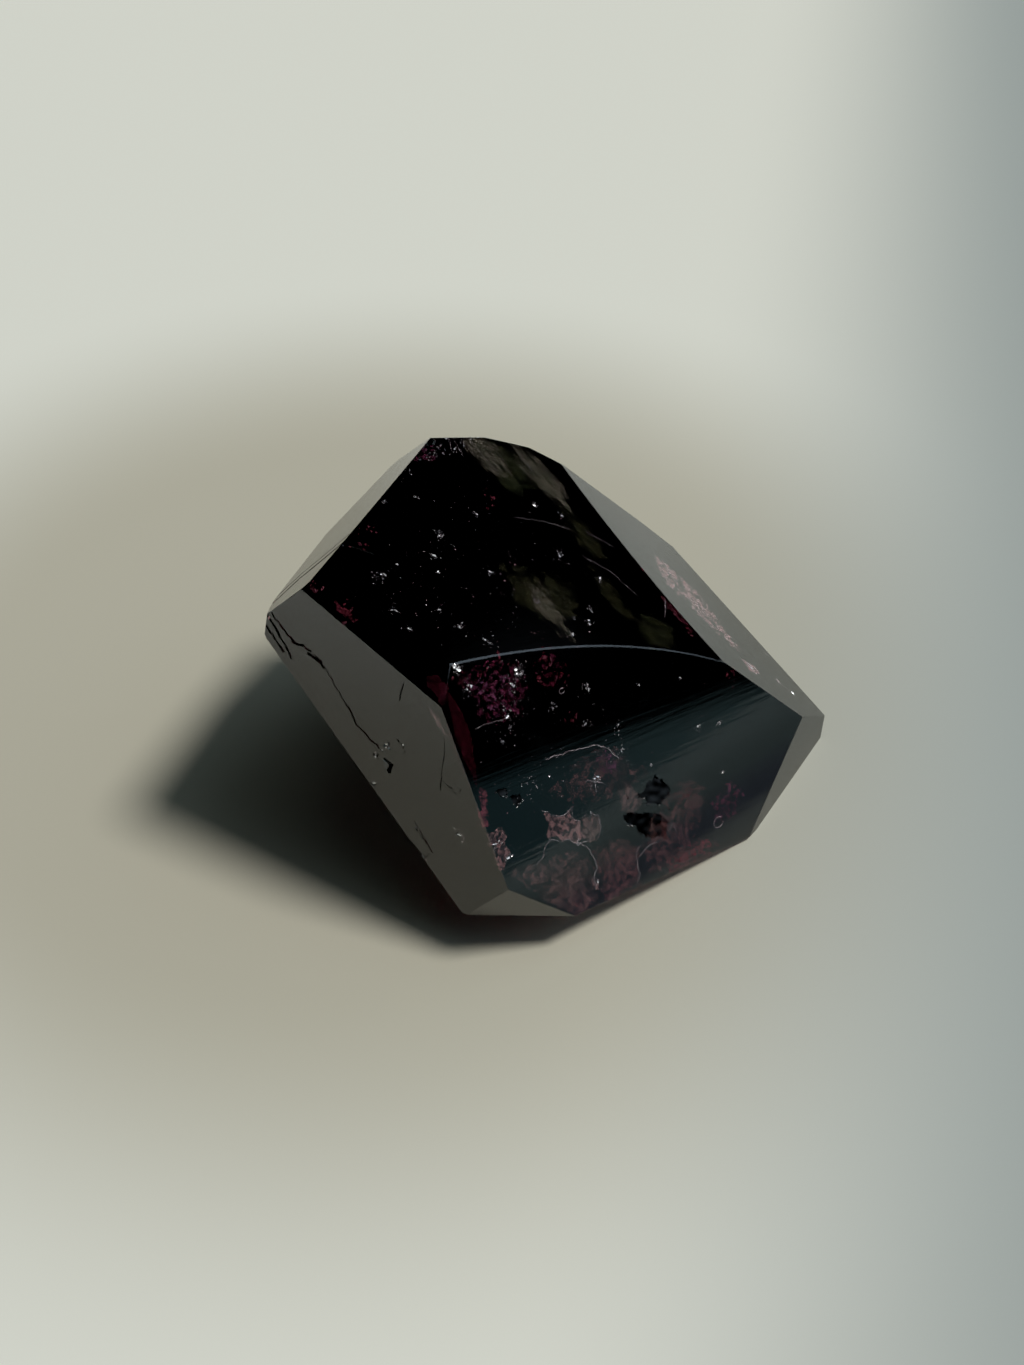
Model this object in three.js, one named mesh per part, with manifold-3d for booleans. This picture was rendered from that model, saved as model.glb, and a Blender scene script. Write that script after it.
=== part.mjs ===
// A polished free-form garnet crystal: one solid stone, hand cut into flat faces below one gently domed face.
// Units are millimetres and +Z is up. The stone rests on its flat base at z = 0, under the middle of its outline.
import * as THREE from "three";
import { mergeVertices } from "three/addons/utils/BufferGeometryUtils.js";
import Module from "manifold-3d";

// ---- Driving dimensions ----

// Each flat face is [azimuth, elevation, distance]. The two angles, in degrees, say which way the face looks:
// azimuth 0 is the front (-Y) and 90 is the right (+X), and elevation is measured up from the horizon.
// The distance, in millimetres, runs from the heart, a point inside the stone, to the face's plane.
const FACES = {
  lowerFront: [43, 28, 6.7],
  leftFront: [-33, 8, 21.1],
  innerCorner: [-13, 46, 18.6],
  leftTop: [-115, 43, 25.2],
  leftTip: [-95, 10, 30.6],
  rightTop: [105, 45, 9.9],
  rightEnd: [59, 3, 19.3],
  toe: [0, -17, 24.9],
  crestLeft: [-167, 37, 26.8],
  crestMiddle: [174, 35, 25],
  crestRight: [151, 33, 21.5],
  back: [-177, 2, 24.7],
  backRight: [148, -16, 28.8],
  backLeft: [-127, -12, 27],
  leftBack: [-102, -24, 23.2],
  underLeft: [-84, -38, 19.7],
  underFront: [-7, -76, 20.4],
  base: [0, -90, 20.5],
};

// The domed top face is a strip of a large round cylinder that lies roughly from front to back.
const DOME_RADIUS = 106;
const DOME_AXIS = [180, 3];
const DOME_CREST = [86, 62.5];
const DOME_CREST_DISTANCE = 6.2;
const DOME_FACETS_AROUND = 720;

// Half the size of the blocks that the faces are planed from, well past any corner of the stone.
const REACH = 100;

const GARNET_RED = 0x3a0712;
const POLISHED_ROUGHNESS = 0.06;

// ---- Solids ----

const wasm = await Module();
wasm.setup();

// The unit vector that looks along an azimuth and an elevation in degrees.
function direction([azimuth, elevation]) {
  const turn = THREE.MathUtils.degToRad(azimuth);
  const rise = THREE.MathUtils.degToRad(elevation);
  return new THREE.Vector3(
    Math.sin(turn) * Math.cos(rise),
    -Math.cos(turn) * Math.cos(rise),
    Math.sin(rise),
  );
}

// A closed three.js geometry as a solid that can be joined and cut.
function solidOf(geometry) {
  geometry.deleteAttribute("normal");
  geometry.deleteAttribute("uv");
  const merged = mergeVertices(geometry);
  const mesh = new wasm.Mesh({
    numProp: 3,
    vertProperties: merged.getAttribute("position").array,
    triVerts: new Uint32Array(merged.index.array),
  });
  return new wasm.Manifold(mesh);
}

// A large block whose one face is the given plane, with all of the stone on its inner side.
function blockBehind([azimuth, elevation, distance]) {
  const outward = direction([azimuth, elevation]);
  const block = new THREE.BoxGeometry(2 * REACH, 2 * REACH, 2 * REACH);
  block.translate(0, 0, distance - REACH);
  block.applyQuaternion(
    new THREE.Quaternion().setFromUnitVectors(new THREE.Vector3(0, 0, 1), outward),
  );
  return solidOf(block);
}

// The large cylinder whose crest line touches the top of the stone.
function domeCylinder() {
  const axis = direction(DOME_AXIS);
  const crest = direction(DOME_CREST).projectOnPlane(axis).normalize();
  const cylinder = new THREE.CylinderGeometry(
    DOME_RADIUS,
    DOME_RADIUS,
    2 * REACH,
    DOME_FACETS_AROUND,
  );
  cylinder.applyQuaternion(
    new THREE.Quaternion().setFromUnitVectors(new THREE.Vector3(0, 1, 0), axis),
  );
  const centre = crest.multiplyScalar(DOME_CREST_DISTANCE - DOME_RADIUS);
  cylinder.translate(centre.x, centre.y, centre.z);
  return solidOf(cylinder);
}

// The stone is what all the blocks and the cylinder have in common.
function stoneGeometry() {
  const solid = Object.values(FACES)
    .map(blockBehind)
    .reduce((stone, block) => stone.intersect(block), domeCylinder());
  const cut = solid.getMesh();
  const geometry = new THREE.BufferGeometry();
  geometry.setAttribute("position", new THREE.BufferAttribute(cut.vertProperties, 3));
  geometry.setIndex(new THREE.BufferAttribute(cut.triVerts, 1));
  return geometry;
}

// Moves a geometry so that the bottom centre of its box is the origin.
function standOnOrigin(geometry) {
  geometry.computeBoundingBox();
  const box = geometry.boundingBox;
  const middle = box.getCenter(new THREE.Vector3());
  geometry.translate(-middle.x, -middle.y, -box.min.z);
  return geometry;
}

// ---- The part ----

const garnet = new THREE.Mesh(
  standOnOrigin(stoneGeometry()),
  new THREE.MeshStandardMaterial({
    color: GARNET_RED,
    roughness: POLISHED_ROUGHNESS,
    metalness: 0,
    flatShading: true,
  }),
);
garnet.name = "garnet_crystal";

const part = new THREE.Group();
part.add(garnet);

export default part;
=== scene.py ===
"""The looks of a polished free-form garnet: a dark see-through stone and the flaws that are sealed in it."""

import math
import random

import bmesh
import bpy
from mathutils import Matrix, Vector, noise
from mathutils.bvhtree import BVHTree


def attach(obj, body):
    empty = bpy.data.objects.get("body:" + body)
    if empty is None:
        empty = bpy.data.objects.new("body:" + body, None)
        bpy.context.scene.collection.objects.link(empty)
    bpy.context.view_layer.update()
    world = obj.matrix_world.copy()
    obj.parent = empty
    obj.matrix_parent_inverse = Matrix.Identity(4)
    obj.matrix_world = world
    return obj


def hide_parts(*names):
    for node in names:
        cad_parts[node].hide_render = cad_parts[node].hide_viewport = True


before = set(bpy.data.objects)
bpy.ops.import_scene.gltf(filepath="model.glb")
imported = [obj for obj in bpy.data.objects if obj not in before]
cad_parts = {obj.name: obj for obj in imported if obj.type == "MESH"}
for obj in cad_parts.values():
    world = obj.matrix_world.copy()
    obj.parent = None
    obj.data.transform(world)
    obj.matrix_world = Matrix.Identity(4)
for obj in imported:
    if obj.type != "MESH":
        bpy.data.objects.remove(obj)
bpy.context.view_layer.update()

# Shapes are worked out in millimetres in the CAD's frame and scaled to metres when they become objects.
MM = 0.001
CAD_NODE = "garnet_crystal"
BODY = "root"

# ---- The CAD stone, read from the frame ----


def direction(azimuth, elevation):
    """The unit vector that looks along an azimuth (0 is -Y, 90 is +X) and an elevation, in degrees."""
    turn = math.radians(azimuth)
    rise = math.radians(elevation)
    return Vector((math.sin(turn) * math.cos(rise), -math.cos(turn) * math.cos(rise), math.sin(rise)))


def cad_copy():
    """A bmesh copy of the CAD stone, in mm."""
    bm = bmesh.new()
    bm.from_mesh(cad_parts[CAD_NODE].data)
    bmesh.ops.scale(bm, vec=(1 / MM, 1 / MM, 1 / MM), verts=bm.verts)
    bm.normal_update()
    return bm


SAME_DIRECTION = math.cos(math.radians(0.4))
SLIVER_AREA = 0.3


def cad_planes(bm):
    """The planes that bound the CAD stone, as (normal, distance from the origin), each once. The largest
    triangle of a plane gives it, because the normals of slivers are rough."""
    planes = []
    for face in sorted(bm.faces, key=lambda f: -f.calc_area()):
        if face.calc_area() < SLIVER_AREA:
            break
        if all(face.normal.dot(known) < SAME_DIRECTION for known, _ in planes):
            planes.append((face.normal.copy(), face.normal.dot(face.calc_center_median())))
    return planes


CAD_SHAPE = cad_copy()
CAD_TREE = BVHTree.FromBMesh(CAD_SHAPE)
PLANES = cad_planes(CAD_SHAPE)

# How far above a face the rays start that look for its surface.
RAY_START = 5


class Face:
    """One face of the stone with axes of its own, in mm from its middle: seen from outside, u is to the right
    and v is up."""

    def __init__(self, azimuth, elevation, spread=1.0):
        self.looks = direction(azimuth, elevation)
        self.spread = math.cos(math.radians(spread))
        parts = [f for f in CAD_SHAPE.faces if self.holds(f.normal)]
        area = sum(f.calc_area() for f in parts)
        self.middle = sum((f.calc_center_median() * f.calc_area() for f in parts), Vector()) / area
        self.normal = sum((f.normal * f.calc_area() for f in parts), Vector()).normalized()
        self.up = (Vector((0, 0, 1)) - self.normal * self.normal.z).normalized()
        self.right = self.up.cross(self.normal)

    def holds(self, normal):
        """True if a part of the stone that looks along this normal belongs to the face."""
        return normal.dot(self.looks) > self.spread

    def spot(self, u, v, depth=0.0):
        """The point at (u, v), that far below the surface. Past the stone's outline it is below the nearest
        place on the stone."""
        above = self.middle + self.right * u + self.up * v + self.normal * RAY_START
        surface, normal, *_ = CAD_TREE.ray_cast(above, -self.normal)
        if surface is None:
            surface, normal, *_ = CAD_TREE.find_nearest(above)
        return surface - normal * depth


# The dome and the crest also take in what curves or turns away by up to the third angle.
DOME = Face(86, 62.5, 19.5)
CREST = Face(169, 35, 20)
FRONT = Face(43, 28)
LEFT = Face(-33, 8)
LEFT_TOP = Face(-115, 43)
INNER = Face(-13, 46)
RIGHT = Face(105, 45)

# ---- Making meshes ----


def new_object(bm, name, materials, smooth=True):
    """Turns a bmesh in mm into an object in metres."""
    bmesh.ops.scale(bm, vec=(MM, MM, MM), verts=bm.verts)
    for face in bm.faces:
        face.smooth = smooth
    mesh = bpy.data.meshes.new(name)
    bm.to_mesh(mesh)
    bm.free()
    made = bpy.data.objects.new(name, mesh)
    bpy.context.scene.collection.objects.link(made)
    for material in materials:
        mesh.materials.append(material)
    return made


def add_hull(bm, points):
    """The closed convex shell around some points."""
    verts = [bm.verts.new(p) for p in points]
    bmesh.ops.convex_hull(bm, input=verts)
    bmesh.ops.delete(bm, geom=[v for v in verts if not v.link_faces], context="VERTS")


def tangents(normal):
    """Two directions across a normal."""
    side = normal.orthogonal().normalized()
    return side, normal.cross(side)


def random_vector(rng, spread):
    """A vector with that spread along each axis."""
    return Vector([rng.gauss(0, spread) for _ in range(3)])


def add_shard(bm, rng, centre, normal, radius, flatness, points):
    """An irregular splinter: the hull of random points in a flattened ball."""
    side, across = tangents(normal)
    turn = rng.uniform(0, math.tau)
    long_axis = side * math.cos(turn) + across * math.sin(turn)
    short_axis = normal.cross(long_axis)
    stretch = rng.uniform(0.5, 1.0)
    corners = []
    for _ in range(points):
        ball = random_vector(rng, 1).normalized() * radius
        level = centre + long_axis * ball.x + short_axis * ball.y * stretch
        corners.append(level + normal * ball.z * flatness)
    add_hull(bm, corners)


TUBE_END = 0.35


def add_tube(bm, path, radius, sides=5):
    """A closed tube along some points, thinner at its ends."""
    rings = []
    angles = [math.tau * k / sides for k in range(sides)]
    for i, point in enumerate(path):
        ahead = (path[min(i + 1, len(path) - 1)] - path[max(i - 1, 0)]).normalized()
        side, across = tangents(ahead)
        taper = radius * (TUBE_END if i in (0, len(path) - 1) else 1.0)
        ways = [side * math.cos(a) + across * math.sin(a) for a in angles]
        rings.append([bm.verts.new(point + way * taper) for way in ways])
    for first, second in zip(rings, rings[1:]):
        for k in range(sides):
            bm.faces.new((first[k], first[(k + 1) % sides], second[(k + 1) % sides], second[k]))
    bm.faces.new(list(reversed(rings[0])))
    bm.faces.new(rings[-1])


def jagged(points, rng, step, wander):
    """A line through some 2-D points, broken into steps that wander to the sides."""
    line = []
    for a, b in zip(points, points[1:]):
        count = max(1, round((Vector(b) - Vector(a)).length / step))
        for k in range(count):
            t = k / count
            u = a[0] + (b[0] - a[0]) * t + rng.uniform(-wander, wander)
            v = a[1] + (b[1] - a[1]) * t + rng.uniform(-wander, wander)
            line.append((u, v))
    line.append(points[-1])
    return line


def span(outline):
    """The least and the greatest u and v of an outline."""
    us, vs = zip(*outline)
    return min(us), max(us), min(vs), max(vs)


def inside(point, outline):
    """True if a 2-D point lies inside a closed outline."""
    x, y = point
    odd = False
    for (ax, ay), (bx, by) in zip(outline, outline[1:] + outline[:1]):
        if (ay > y) != (by > y) and x < (bx - ax) * (y - ay) / (by - ay) + ax:
            odd = not odd
    return odd


CELL = 0.16


def add_cells(bm, kept, corner):
    """A closed slab over the kept cells of a grid. corner(i, j, low) is its vertex at a corner of the grid,
    on the lower side if low is true."""
    for i, j in sorted(kept):
        ring = ((i, j), (i + 1, j), (i + 1, j + 1), (i, j + 1))
        bm.faces.new([corner(*c, False) for c in ring])
        bm.faces.new([corner(*c, True) for c in reversed(ring)])
        for k, beyond in enumerate(((i, j - 1), (i + 1, j), (i, j + 1), (i - 1, j))):
            if beyond not in kept:
                a, b = ring[k], ring[(k + 1) % 4]
                bm.faces.new((corner(*b, False), corner(*a, False), corner(*a, True), corner(*b, True)))


SHEET_THICKNESS = 0.03
SHEET_SHALLOWEST = 0.05
SHEET_JITTER = 0.3
WAVES_PER_MM = 0.6


def add_sheet(bm, face, centre, half, turn, depth, keep, seed, cell, relief=0.0):
    """A thin closed sheet below a face, on a grid of cells, with waves as high as its relief. keep(x, y) is a
    cell's strength, and a cell of strength 0 is left out. The vertices store the strength as haze."""
    haze = bm.verts.layers.float.get("haze") or bm.verts.layers.float.new("haze")
    columns = max(2, round(2 * half[0] / cell))
    rows = max(2, round(2 * half[1] / cell))
    cosine = math.cos(math.radians(turn))
    sine = math.sin(math.radians(turn))
    rng = random.Random(seed)

    def local(i, j):
        return (2 * i / columns - 1) * half[0], (2 * j / rows - 1) * half[1]

    kept = {}
    for i in range(columns):
        for j in range(rows):
            strength = keep(*local(i + 0.5, j + 0.5))
            if strength > 0:
                kept[i, j] = strength
    corners = {}

    def corner(i, j, low):
        if (i, j, low) not in corners:
            x, y = local(
                i + rng.uniform(-SHEET_JITTER, SHEET_JITTER), j + rng.uniform(-SHEET_JITTER, SHEET_JITTER)
            )
            u = centre[0] + x * cosine - y * sine
            v = centre[1] + x * sine + y * cosine
            wave = relief * noise.noise(Vector((x * WAVES_PER_MM, y * WAVES_PER_MM, seed)))
            for is_low in (False, True):
                deep = depth + wave + SHEET_THICKNESS * is_low
                vert = bm.verts.new(face.spot(u, v, max(deep, SHEET_SHALLOWEST)))
                near = [kept.get(c, 0) for c in ((i, j), (i - 1, j), (i, j - 1), (i - 1, j - 1))]
                vert[haze] = sum(near) / 4
                corners[i, j, is_low] = vert
        return corners[i, j, low]

    add_cells(bm, kept, corner)


# ---- The stone ----

BLOCK_SIZE = 200
CUT_TOLERANCE = 1e-4
EDGE_RADIUS = 0.09
EDGE_STEPS = 3
SHARPEST_CREASE = math.cos(math.radians(2))

# Edges that are rounded unlike the rest, as (the two faces, radius in mm, steps around). Without steps an
# edge stays sharp.
SOFT_EDGES = (
    (DOME, FRONT, 0.42, 5),
    (DOME, CREST, 0.5, 4),
    (DOME, INNER, 0.0, 0),
    (INNER, FRONT, 0.3, 4),
)


def plane_off(bm, normal, distance):
    """Cuts away what lies outside a plane and closes the cut with one flat face."""
    cut = bmesh.ops.bisect_plane(
        bm,
        geom=bm.verts[:] + bm.edges[:] + bm.faces[:],
        dist=CUT_TOLERANCE,
        plane_co=normal * distance,
        plane_no=normal,
        clear_outer=True,
    )
    edges = [e for e in cut["geom_cut"] if isinstance(e, bmesh.types.BMEdge)]
    if edges:
        bmesh.ops.contextual_create(bm, geom=edges)


def rounding_of(a, b):
    """The radius and the number of steps for the edge between two faces that look along a and b."""
    for first, second, radius, steps in SOFT_EDGES:
        if (first.holds(a) and second.holds(b)) or (first.holds(b) and second.holds(a)):
            return radius, steps
    return EDGE_RADIUS, EDGE_STEPS


def rounded_stone():
    """The CAD stone with its sharp edges rounded, planed from a block face by face."""
    bm = bmesh.new()
    bmesh.ops.create_cube(bm, size=BLOCK_SIZE)
    for normal, distance in PLANES:
        plane_off(bm, normal, distance)
    bm.normal_update()
    sharp = []
    for edge in bm.edges:
        a, b = (f.normal.copy() for f in edge.link_faces)
        if a.dot(b) < SHARPEST_CREASE:
            sharp.append(((edge.verts[0].co + edge.verts[1].co) / 2, a, b))
    for middle, a, b in sharp:
        radius, steps = rounding_of(a, b)
        core = middle - (a + b) * (radius / (1 + a.dot(b)))
        for step in range(1, steps + 1):
            normal = a.slerp(b, step / (steps + 1)).normalized()
            plane_off(bm, normal, normal.dot(core) + radius)
    return bm


# Cutters start above the surface: pits by a share of their depth, the others by these heights in mm.
PIT_START = 0.15
CHIP_START = 0.2
CRACK_START = 0.05


def add_pit(bm, rng, face, u, v, radius, depth, shards=3):
    """A broken-out place: a few splinters that overlap at the surface, each as deep as asked at most."""
    for _ in range(shards):
        reach = radius * 0.5
        above = -PIT_START * depth
        centre = face.spot(u + rng.uniform(-reach, reach), v + rng.uniform(-reach, reach), above)
        add_shard(bm, rng, centre, face.normal, radius * rng.uniform(0.6, 1.0), depth / radius, points=12)


CHIP_ROUGHNESS = 0.02
CHIP_SHALLOWEST = 0.06
CHIP_JITTER = 0.25
CHIP_BUMPS_PER_MM = 1.3


def add_chip(bm, face, outline, depth, fall, seed):
    """A cutter for a ragged broken-out place with a sloping, uneven floor. fall is how much deeper the floor
    gets per mm along u and v."""
    rng = random.Random(seed)
    ragged = jagged(outline + outline[:1], rng, 0.45, 0.14)[:-1]
    left, right, bottom, top = span(ragged)
    middle = ((left + right) / 2, (bottom + top) / 2)
    kept = {
        (i, j)
        for i in range(math.ceil((right - left) / CELL))
        for j in range(math.ceil((top - bottom) / CELL))
        if inside((left + (i + 0.5) * CELL, bottom + (j + 0.5) * CELL), ragged)
    }
    corners = {}

    def corner(i, j, low):
        if (i, j, low) not in corners:
            u = left + (i + rng.uniform(-CHIP_JITTER, CHIP_JITTER)) * CELL
            v = bottom + (j + rng.uniform(-CHIP_JITTER, CHIP_JITTER)) * CELL
            bumps = noise.noise(Vector((u * CHIP_BUMPS_PER_MM, v * CHIP_BUMPS_PER_MM, seed)))
            slope = fall[0] * (u - middle[0]) + fall[1] * (v - middle[1])
            deep = max(depth + slope + CHIP_ROUGHNESS * bumps, CHIP_SHALLOWEST)
            corners[i, j, False] = bm.verts.new(face.spot(u, v, -CHIP_START))
            corners[i, j, True] = bm.verts.new(face.spot(u, v, deep))
        return corners[i, j, low]

    add_cells(bm, kept, corner)


def add_crack(bm, rng, face, width, depth, step, wander, points):
    """A narrow V-shaped groove along a line on a face, as one wedge for each of its steps."""
    line = jagged(points, rng, step, wander)
    for a, b in zip(line, line[1:]):
        start, end = face.spot(*a), face.spot(*b)
        along = (end - start).normalized()
        across = along.cross(face.normal)
        half = width * rng.uniform(0.35, 0.65)
        overlap = along * half
        corners = []
        for point in (start - overlap, end + overlap):
            corners += [
                point + across * half + face.normal * CRACK_START,
                point - across * half + face.normal * CRACK_START,
                point - face.normal * depth * rng.uniform(0.6, 1.0),
            ]
        add_hull(bm, corners)


# The two large star-shaped chips low on the front face, and two small ones to the left of them, each as
# (depth, fall, seed, outline).
CHIPS = (
    (0.4, (-0.1, 0.12), 11, [
        (0.0, -3.6), (1.2, -3.9), (2.1, -3.2), (3.1, -3.1), (4.0, -3.8), (4.5, -5.3), (4.2, -6.0),
        (2.5, -6.1), (1.6, -5.5), (1.0, -5.6), (1.1, -4.8), (0.5, -4.1)]),
    (0.45, (-0.1, 0.1), 12, [
        (-2.2, -4.8), (-1.4, -4.7), (-0.8, -5.4), (0.5, -6.0), (1.3, -6.4), (2.2, -7.0), (2.9, -8.4),
        (2.0, -9.9), (0.9, -9.2), (0.1, -9.0), (-0.9, -7.6), (-1.2, -6.6), (-1.9, -6.4)]),
    (0.2, (-0.1, 0.12), 13, [(-15.4, 5.5), (-14.2, 5.4), (-14.3, 4.5), (-15.0, 4.6)]),
    (0.2, (-0.1, 0.12), 14, [(-14.1, 4.2), (-12.9, 3.9), (-12.8, 3.0), (-13.9, 2.8)]),
)
LEFT_CHIP = [(2.6, -10.6), (3.8, -10.0), (5.2, -10.8), (4.6, -11.8), (3.2, -11.6)]

# Small pits beside the large chips, as (u, v, radius).
FRONT_PITS = ((-0.9, -3.2, 0.3), (-3.0, -3.9, 0.25), (3.6, -7.4, 0.25))

# Cracks on the left face, as (width, depth, step, wander, line): splinters along the grain of its tip, a long
# crack that runs down from there to a pit, and a few others.
LEFT_CRACKS = (
    (0.28, 1.0, 0.5, 0.16, [(-16.6, 9.0), (-15.2, 7.2), (-13.6, 5.6)]),
    (0.28, 1.0, 0.5, 0.16, [(-16.2, 9.6), (-14.4, 8.0), (-12.6, 5.2)]),
    (0.28, 1.0, 0.5, 0.16, [(-15.2, 9.8), (-13.4, 8.0), (-12.2, 7.2)]),
    (0.28, 1.0, 0.5, 0.16, [(-12.4, 7.0), (-11.2, 7.4), (-10.2, 7.0)]),
    (0.15, 0.8, 0.45, 0.13, [(-9.6, 6.9), (-8.4, 5.8), (-7.0, 4.2), (-5.6, 2.6)]),
    (0.22, 0.8, 0.45, 0.13, [(-5.6, 2.6), (-4.3, 0.8), (-3.0, 0.0), (-1.6, -0.8)]),
    (0.45, 0.9, 0.8, 0.08, [(-10.4, 6.6), (-9.0, 6.4), (-8.6, 5.8)]),
    (0.5, 0.7, 0.8, 0.08, [(-0.7, -1.9), (0.0, -2.2), (-0.2, -3.0)]),
    (0.16, 0.3, 0.8, 0.08, [(3.2, -7.8), (3.8, -8.6), (5.4, -10.6)]),
    (0.1, 0.2, 0.8, 0.08, [(6.0, -1.2), (7.0, -1.6), (7.9, -2.2)]),
)
# Its pits, as (u, v, radius, depth), and its thinnest cracks.
LEFT_PITS = ((-0.4, -2.4, 0.5, 0.4), (4.3, -9.2, 0.3, 0.2), (7.2, -1.6, 0.2, 0.12))
THIN_LEFT_CRACKS = (
    (0.12, 0.4, 0.8, 0.08, [(6.0, 3.5), (6.0, 0.7), (5.9, -2.4)]),
    (0.16, 0.4, 0.8, 0.08, [(0.95, 8.0), (0.6, 6.0)]),
    (0.14, 0.3, 0.8, 0.08, [(0.6, 1.2), (1.2, 0.8), (1.5, 0.2)]),
)

# Chips on the left face with pale crumbs still in them, as (u, v, radius).
CRUMBLED = (
    (-0.6, -0.1, 0.5), (-1.9, -1.8, 0.42), (-2.1, -5.4, 0.4), (-0.4, -8.3, 0.5), (4.5, -12.1, 0.6),
    (1.3, 0.8, 0.3), (3.5, -8.5, 0.3), (-1.2, -0.9, 0.25), (8.4, -6.8, 0.4),
)

# The line along the lower edge of the left top face that two fine grooves follow, the second one shifted.
GROOVE = [(12.6, -3.0), (11.1, -1.5), (9.6, -0.1), (8.7, 2.9), (7.6, 5.4), (6.9, 7.0)]
GROOVE_SHIFT = (-1.6, -1.1)

SCRATCHES = 16
SPECKS = 14
CREST_CRUMBS = 34


def damage():
    """All that is broken out of the polished surface, as one bmesh of cutters."""
    bm = bmesh.new()
    rng = random.Random(7)
    for depth, fall, seed, outline in CHIPS:
        add_chip(bm, FRONT, outline, depth, fall, seed)
    for u, v, radius in FRONT_PITS:
        add_pit(bm, rng, FRONT, u, v, radius, 0.15)
    for crack in LEFT_CRACKS:
        add_crack(bm, rng, LEFT, *crack)
    for pit in LEFT_PITS:
        add_pit(bm, rng, LEFT, *pit)
    for crack in THIN_LEFT_CRACKS:
        add_crack(bm, rng, LEFT, *crack)
    add_chip(bm, LEFT, LEFT_CHIP, 0.12, (0.04, -0.05), 15)
    for u, v, radius in CRUMBLED:
        add_pit(bm, rng, LEFT, u, v, radius, 0.3)
    # Fine scratches and specks all over the left face.
    for _ in range(SCRATCHES):
        u, v = rng.uniform(-9, 9), rng.uniform(-10, 6)
        turn = rng.uniform(0, math.tau)
        reach = rng.uniform(0.3, 1.3)
        far = (u + reach * math.cos(turn), v + reach * math.sin(turn))
        add_crack(bm, rng, LEFT, 0.08, 0.12, 0.5, 0.1, [(u, v), far])
    for _ in range(SPECKS):
        u, v = rng.uniform(-9, 9), rng.uniform(-10, 6)
        add_pit(bm, rng, LEFT, u, v, rng.uniform(0.12, 0.24), 0.08, shards=1)
    shifted = [(u + GROOVE_SHIFT[0], v + GROOVE_SHIFT[1]) for u, v in GROOVE]
    add_crack(bm, rng, LEFT_TOP, 0.55, 0.5, 0.8, 0.03, GROOVE)
    add_crack(bm, rng, LEFT_TOP, 0.4, 0.4, 0.8, 0.05, shifted)
    # Crumbled places along the crest.
    for _ in range(CREST_CRUMBS):
        u = rng.uniform(9.5, 17.6)
        v = 11.5 - (u - 9.5) * 0.35 + rng.uniform(-0.6, 0.9)
        add_pit(bm, rng, DOME, u, v, rng.uniform(0.2, 0.5), 0.25, shards=1)
    return bm


def modify(piece, kind, **values):
    """Adds a modifier and applies it."""
    modifier = piece.modifiers.new(kind.lower(), kind)
    for name, value in values.items():
        setattr(modifier, name, value)
    bpy.context.view_layer.objects.active = piece
    bpy.ops.object.modifier_apply(modifier=modifier.name)


# ---- Materials ----


def new_material(name):
    """A node material, with its tree and its Principled shader."""
    material = bpy.data.materials.new(name)
    material.use_nodes = True
    return material, material.node_tree, material.node_tree.nodes["Principled BSDF"]


def add_node(tree, kind, inputs=None, **values):
    """A node with its properties and inputs set. An input that is a socket is linked."""
    made = tree.nodes.new(kind)
    for name, value in values.items():
        setattr(made, name, value)
    for name, value in (inputs or {}).items():
        if isinstance(value, bpy.types.NodeSocket):
            tree.links.new(value, made.inputs[name])
        else:
            made.inputs[name].default_value = value
    return made


def coordinates(tree, kind="Object"):
    return add_node(tree, "ShaderNodeTexCoord").outputs[kind]


def vector_maths(tree, operation, first, second):
    """The sum, the distance or the dot product of two vectors."""
    made = add_node(tree, "ShaderNodeVectorMath", {0: first, 1: second}, operation=operation)
    return made.outputs["Vector" if operation == "ADD" else "Value"]


def carried(tree, value, start=(0, 1), end=(0, 1), smooth=False):
    """A value carried from the start range to the end range and held at its ends."""
    inputs = {"Value": value, "From Min": start[0], "From Max": start[1], "To Min": end[0], "To Max": end[1]}
    kind = "SMOOTHSTEP" if smooth else "LINEAR"
    return add_node(tree, "ShaderNodeMapRange", inputs, interpolation_type=kind).outputs["Result"]


def noise_texture(tree, where, scale, detail, roughness=0.5):
    inputs = {"Vector": where, "Scale": scale, "Detail": detail, "Roughness": roughness}
    return add_node(tree, "ShaderNodeTexNoise", inputs).outputs["Fac"]


# The sockets of a Mix node that hold its factor, its two colours and the colour it gives.
MIX_FACTOR, MIX_FIRST, MIX_SECOND, MIX_RESULT = 0, 6, 7, 2


def mixed(tree, factor, first, second):
    """A colour between two colours."""
    inputs = {MIX_FACTOR: factor, MIX_FIRST: first, MIX_SECOND: second}
    return add_node(tree, "ShaderNodeMix", inputs, data_type="RGBA").outputs[MIX_RESULT]


def add_bump(tree, shader, height, strength, distance):
    """Bumps up to that distance in mm."""
    inputs = {"Height": height, "Strength": strength, "Distance": distance * MM}
    bump = add_node(tree, "ShaderNodeBump", inputs).outputs["Normal"]
    tree.links.new(bump, shader.inputs["Normal"])


def millimetres(tree):
    """Object coordinates in mm."""
    inputs = {"Vector": coordinates(tree), "Scale": [1 / MM] * 3}
    return add_node(tree, "ShaderNodeMapping", inputs).outputs["Vector"]


def stretched(tree, face, turn, along, across):
    """Object coordinates in mm on a face's own axes, turned by some degrees: scaled by one value along that
    direction and by another across it."""
    place = coordinates(tree)
    angle = math.radians(turn)
    grain = face.right * math.cos(angle) + face.up * math.sin(angle)
    side = face.up * math.cos(angle) - face.right * math.sin(angle)
    axes = (grain * along, side * across, face.normal * across)
    lengths = [vector_maths(tree, "DOT_PRODUCT", place, axis / MM) for axis in axes]
    return add_node(tree, "ShaderNodeCombineXYZ", dict(enumerate(lengths))).outputs["Vector"]


GARNET_IOR = 1.76
# How much light each millimetre of stone takes away, in red, green and blue.
ABSORPTION_PER_MM = (0.32, 0.9, 0.76)


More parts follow.
